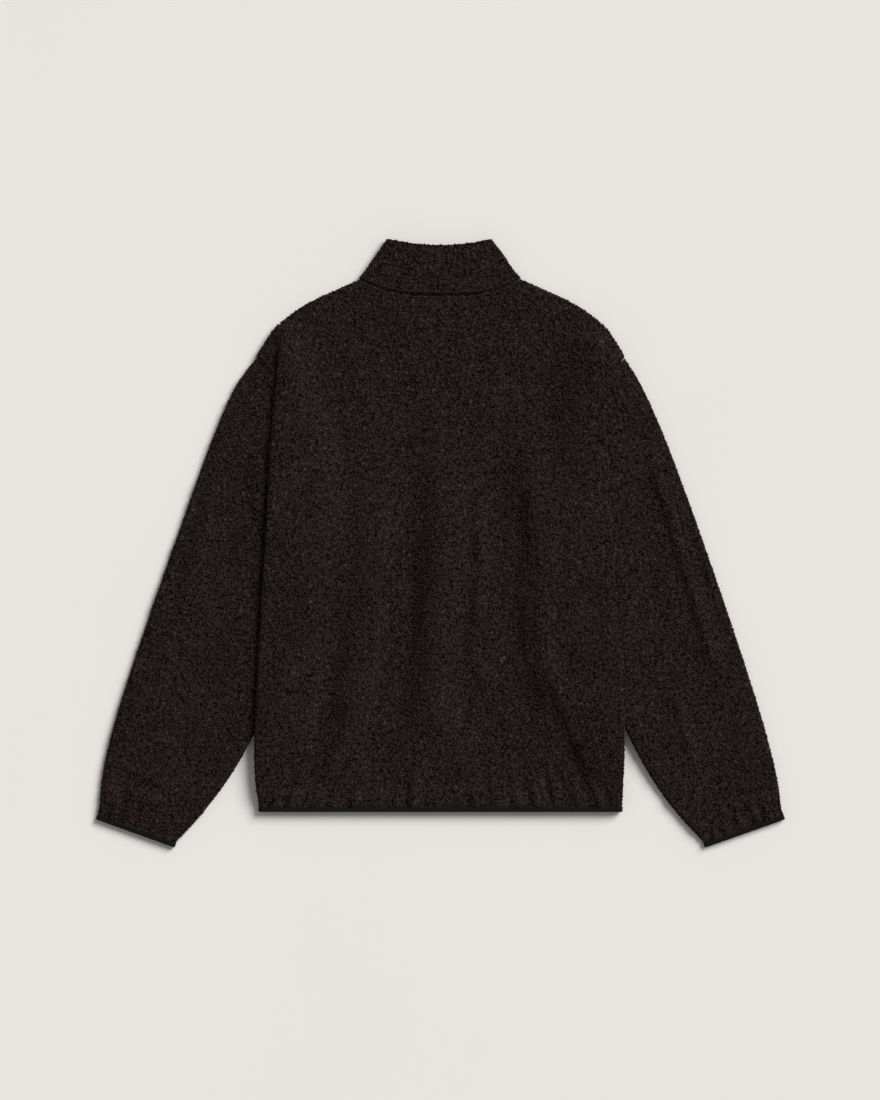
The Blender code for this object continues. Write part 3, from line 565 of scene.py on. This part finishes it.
def fleece_material(name, nub_cells):
    """Very dark brown curly pile. Painted shade makes the gaps between nubs nearly black, and
    painted light makes their tops lighter.

    With nub_cells the nubs come from a cell pattern; without, from the height stored on the pile.
    """
    material, shader = new_material(name, 0.95, specular=0.08)
    shader.inputs["Sheen Weight"].default_value = 0.10
    shader.inputs["Sheen Roughness"].default_value = 0.45
    shader.inputs["Sheen Tint"].default_value = (0.80, 0.58, 0.52, 1.0)
    place = add_node(material, "ShaderNodeTexCoord").outputs["Object"]
    curls = add_node(material, "ShaderNodeTexNoise", {"Scale": 900.0, "Detail": 4.0})
    patches = add_node(material, "ShaderNodeTexNoise", {"Scale": 16.0, "Detail": 3.0})
    for node in (curls, patches):
        connect(material, place, node.inputs["Vector"])
    if nub_cells:
        wobble = add_node(material, "ShaderNodeTexNoise", {"Scale": 300.0, "Detail": 2.0})
        shift = add_node(material, "ShaderNodeVectorMath", {1: (0.0012, 0.0012, 0.0012)},
                         operation="MULTIPLY_ADD")
        cells = add_node(material, "ShaderNodeTexVoronoi", {"Scale": 250.0}, feature="SMOOTH_F1")
        depth = add_node(material, "ShaderNodeMapRange", {"From Min": 0.70, "From Max": 0.05})
        connect(material, place, wobble.inputs["Vector"])
        connect(material, wobble.outputs["Color"], shift.inputs[0])
        connect(material, place, shift.inputs[2])
        connect(material, shift.outputs["Vector"], cells.inputs["Vector"])
        connect(material, cells.outputs["Distance"], depth.inputs["Value"])
        nub = depth.outputs["Result"]
        add_bump(material, shader, nub, 0.8, 0.0016)
    else:
        nub = add_node(material, "ShaderNodeAttribute", attribute_name="shade_by_nub_height").outputs["Fac"]
    rough = add_node(material, "ShaderNodeMapRange", {"To Min": -0.15, "To Max": 0.15})
    patch = add_node(material, "ShaderNodeMapRange", {"To Min": -0.08, "To Max": 0.08})
    first = add_node(material, "ShaderNodeMath", operation="ADD")
    total = add_node(material, "ShaderNodeMath", operation="ADD")
    connect(material, curls.outputs["Fac"], rough.inputs["Value"])
    connect(material, patches.outputs["Fac"], patch.inputs["Value"])
    connect(material, rough.outputs["Result"], first.inputs[0])
    connect(material, patch.outputs["Result"], first.inputs[1])
    connect(material, first.outputs["Value"], total.inputs[0])
    connect(material, nub, total.inputs[1])
    # Painted shade and light: near black in the gaps between nubs, lighter on their tops.
    colour = colour_ramp(material, total.outputs["Value"], (
        (0.10, (0.0007, 0.0005, 0.0005)), (0.45, (0.0105, 0.0070, 0.0064)),
        (0.95, (0.0560, 0.0390, 0.0355))))
    connect(material, colour, shader.inputs["Base Color"])
    add_bump(material, shader, curls.outputs["Fac"], 0.6, 0.0007)
    return material


def knit_material():
    """Smooth black elastic with fine ribs across it."""
    material, shader = new_material("elastic_knit", 0.70, specular=0.12)
    place = add_node(material, "ShaderNodeTexCoord").outputs["Object"]
    ribs = add_node(material, "ShaderNodeTexWave", {"Scale": 260.0, "Distortion": 0.8})
    grain = add_node(material, "ShaderNodeTexNoise", {"Scale": 1400.0, "Detail": 2.0})
    for node in (ribs, grain):
        connect(material, place, node.inputs["Vector"])
    colour = colour_ramp(material, ribs.outputs["Fac"], (
        (0.0, (0.0016, 0.0016, 0.0019)), (1.0, (0.0052, 0.0050, 0.0056))))
    connect(material, colour, shader.inputs["Base Color"])
    add_bump(material, shader, ribs.outputs["Fac"], 0.5, 0.0003)
    add_bump(material, shader, grain.outputs["Fac"], 0.3, 0.0002)
    return material


def tape_material():
    """Black tape woven in a fine herringbone."""
    material, shader = new_material("zip_tape_weave", 0.75, specular=0.25)
    place = add_node(material, "ShaderNodeTexCoord").outputs["Object"]
    warp = add_node(material, "ShaderNodeTexWave", {"Scale": 500.0, "Distortion": 0.3},
                    bands_direction="DIAGONAL")
    weft = add_node(material, "ShaderNodeTexWave", {"Scale": 420.0, "Distortion": 0.3},
                    bands_direction="Y")
    weave = add_node(material, "ShaderNodeMath", operation="MULTIPLY")
    for node in (warp, weft):
        connect(material, place, node.inputs["Vector"])
    connect(material, warp.outputs["Fac"], weave.inputs[0])
    connect(material, weft.outputs["Fac"], weave.inputs[1])
    colour = colour_ramp(material, weave.outputs["Value"], (
        (0.0, (0.0045, 0.0040, 0.0040)), (1.0, (0.0180, 0.0165, 0.0165))))
    connect(material, colour, shader.inputs["Base Color"])
    add_bump(material, shader, weave.outputs["Value"], 0.5, 0.0002)
    return material


def plain_material(name, dark, light, roughness, metallic, scale, bump):
    """A hard or smooth surface with slight patches in its colour and a fine grain."""
    material, shader = new_material(name, roughness, metallic, 0.5)
    place = add_node(material, "ShaderNodeTexCoord").outputs["Object"]
    grain = add_node(material, "ShaderNodeTexNoise", {"Scale": scale, "Detail": 5.0})
    connect(material, place, grain.inputs["Vector"])
    colour = colour_ramp(material, grain.outputs["Fac"], ((0.3, dark), (0.7, light)))
    connect(material, colour, shader.inputs["Base Color"])
    add_bump(material, shader, grain.outputs["Fac"], 0.35, bump)
    return material


FLEECE = fleece_material("fleece_cloth", True)
PILE = fleece_material("fleece_pile", False)
KNIT = knit_material()
TAPE = tape_material()
THREAD = plain_material("sewing_thread", (0.008, 0.006, 0.006), (0.022, 0.017, 0.016),
                        0.6, 0.0, 2500.0, 0.0002)
COIL = plain_material("zip_coil", (0.006, 0.006, 0.006), (0.014, 0.013, 0.013),
                      0.38, 0.0, 1500.0, 0.0001)
METAL = plain_material("zip_dark_metal", (0.045, 0.042, 0.038), (0.085, 0.078, 0.070),
                       0.36, 0.9, 700.0, 0.00008)
FLOOR = plain_material("pale_floor", (0.800, 0.785, 0.758), (0.812, 0.798, 0.772),
                       0.9, 0.0, 2.0, 0.0001)


def dress(piece, body, slot, *nodes):
    """Attaches the piece to the body that it moves with and hides the nodes that it stands for. Its
    finish, slot, is not used.
    """
    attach(piece, body)
    if nodes:
        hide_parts(*nodes)


def make_cloth():
    """All fleece and bindings, with the pile on the fleece. Returns the tree of the shaped cloth.
    """
    meshes = {node: smoothed_mesh(node, CLOTH_RIM, SMOOTH_LEVELS) for node in FLEECE_NODES}
    for node in BINDING_NODES:
        meshes[node] = smoothed_mesh(node, BINDING_RIM, SMOOTH_LEVELS)
    tree = surface_tree(meshes.values())
    folds = {node: list(FOLDS.get(node, ())) for node in FLEECE_NODES}
    for node, low, high, inward, number, reach in GATHERS:
        folds[node] += gather_folds(low, high, inward, number, reach)
    for node in FLEECE_NODES:
        split_long_edges(meshes[node], tree)
        shape_cloth(meshes[node], folds[node], tree)
    tree = surface_tree(meshes.values())
    for seed, node in enumerate(FLEECE_NODES):
        cloth = add_object(node + "_cloth", meshes[node], FLEECE)
        dress(cloth, "garment", "fleece", node)
        nubs = pile(node, meshes[node], tree, PILE, seed)
        dress(nubs, "garment", "fleece")
    for node in BINDING_NODES:
        strip = add_object(node + "_strip", meshes[node], KNIT)
        dress(strip, "garment", "binding", node)
    return tree


def make_sewing(tree):
    """The two rows of stitches at the neck and the topstitch at the armholes."""
    lines = [(NECK_SEAM, -SEAM_HALF), (NECK_SEAM, SEAM_HALF)]
    lines += [(ARMHOLE_SEAMS[0], ARMHOLE_STITCH), (ARMHOLE_SEAMS[1], -ARMHOLE_STITCH)]
    sewing = stitches("seam_stitches", lines, tree, THREAD)
    dress(sewing, "garment", "fleece")


def make_seam_roll(tree):
    """The overlocked edge inside the back neck seam, which closes the gap between the pieces."""
    line = []
    for x, y in NECK_SEAM:
        height = cloth_height(tree, x, y - ROLL_SET_BACK)
        line.append((x, y + ROLL_LEAD, height - ROLL_DEPTH))
    first, last = line[0], line[-1]
    line.insert(0, (first[0] - ROLL_END_X, first[1] + ROLL_END_Y, first[2] / 2))
    line.append((last[0] + ROLL_END_X, last[1] + ROLL_END_Y, last[2] / 2))
    mesh = joined_mesh("neck_seam_roll", [tube(line, ROLL_RADIUS, ROLL_SIDES)])
    roll = add_object("neck_seam_roll", mesh, THREAD)
    dress(roll, "garment", "fleece")


def make_zip():
    """Tapes, coils, slider and pull tab, in the place of their solids."""
    for node in ("zip_tape_left", "zip_tape_right"):
        mesh = smoothed_mesh(node, CLOTH_RIM, TAPE_LEVELS)
        tape = add_object(node + "_weave", mesh, TAPE)
        dress(tape, "garment", "zip_tape", node)
    chain_low, chain_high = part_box("zip_chain")
    level = (chain_low.z + chain_high.z) / 2 / MM
    steps = int((chain_high.y - chain_low.y) / MM / COIL_PITCH * COIL_STEPS)
    parts = []
    for sign in (-1.0, 1.0):
        turn = 2 * math.pi * np.arange(steps) / COIL_STEPS * sign
        path = np.column_stack([
            sign * COIL_CENTRE + COIL_WIDE * COIL_RADIUS * np.cos(turn),
            chain_low.y / MM + COIL_WIRE + np.arange(steps) * COIL_PITCH / COIL_STEPS,
            level + COIL_HIGH * COIL_RADIUS * np.sin(turn)])
        parts.append(tube(path, COIL_WIRE, COIL_SIDES))
        core = [(sign * COIL_CENTRE, chain_low.y / MM + CORE_INSET, level),
                (sign * COIL_CENTRE, chain_high.y / MM - CORE_INSET, level)]
        parts.append(tube(core, CORE_RADIUS, CORE_SIDES))
    coils = add_object("zip_coils", joined_mesh("zip_coils", parts), COIL)
    dress(coils, "garment", "zip_chain", "zip_chain")
    for node, body in (("zip_slider", "garment"), ("zip_pull_tab", "pull_tab")):
        part = add_object(node + "_metal", bevelled_mesh(node), METAL)
        part.data.set_sharp_from_angle(angle=METAL_SHARP)
        dress(part, body, "zip_metal", node)


def make_floor():
    mesh = bpy.data.meshes.new("floor")
    corners = [(x * FLOOR_HALF, y * FLOOR_HALF, -FLOOR_DROP)
               for x, y in ((-1, -1), (1, -1), (1, 1), (-1, 1))]
    mesh.from_pydata(corners, [], [(0, 1, 2, 3)])
    add_object("floor", mesh, FLOOR)


def make_lights():
    sun = bpy.data.lights.new("key_light", "SUN")
    sun.energy = SUN_STRENGTH
    sun.angle = SUN_ANGLE
    sun.color = SUN_COLOUR
    holder = bpy.data.objects.new("key_light", sun)
    holder.rotation_mode = "QUATERNION"
    holder.rotation_quaternion = SUN_FROM.to_track_quat("Z", "Y")
    bpy.context.collection.objects.link(holder)
    world = bpy.data.worlds.new("studio")
    world.use_nodes = True
    background = world.node_tree.nodes["Background"]
    background.inputs["Color"].default_value = WORLD_COLOUR
    background.inputs["Strength"].default_value = WORLD_STRENGTH
    bpy.context.scene.world = world
    bpy.context.scene.view_settings.view_transform = "Standard"


def make_camera():
    """Straight above, with the photo's frame."""
    lens = bpy.data.cameras.new("camera")
    lens.sensor_fit = "AUTO"
    lens.sensor_width = SENSOR
    lens.lens = SENSOR * CAMERA_DISTANCE / (VIEW_HEIGHT * MM)
    lens.clip_end = 100.0
    camera = bpy.data.objects.new("camera", lens)
    camera.location = (VIEW_X * MM, VIEW_Y * MM, CAMERA_DISTANCE + cad_high.z / 2)
    bpy.context.collection.objects.link(camera)
    bpy.context.scene.camera = camera


make_camera()
cloth_tree = make_cloth()
make_sewing(cloth_tree)
make_seam_roll(cloth_tree)
make_zip()
make_floor()
make_lights()
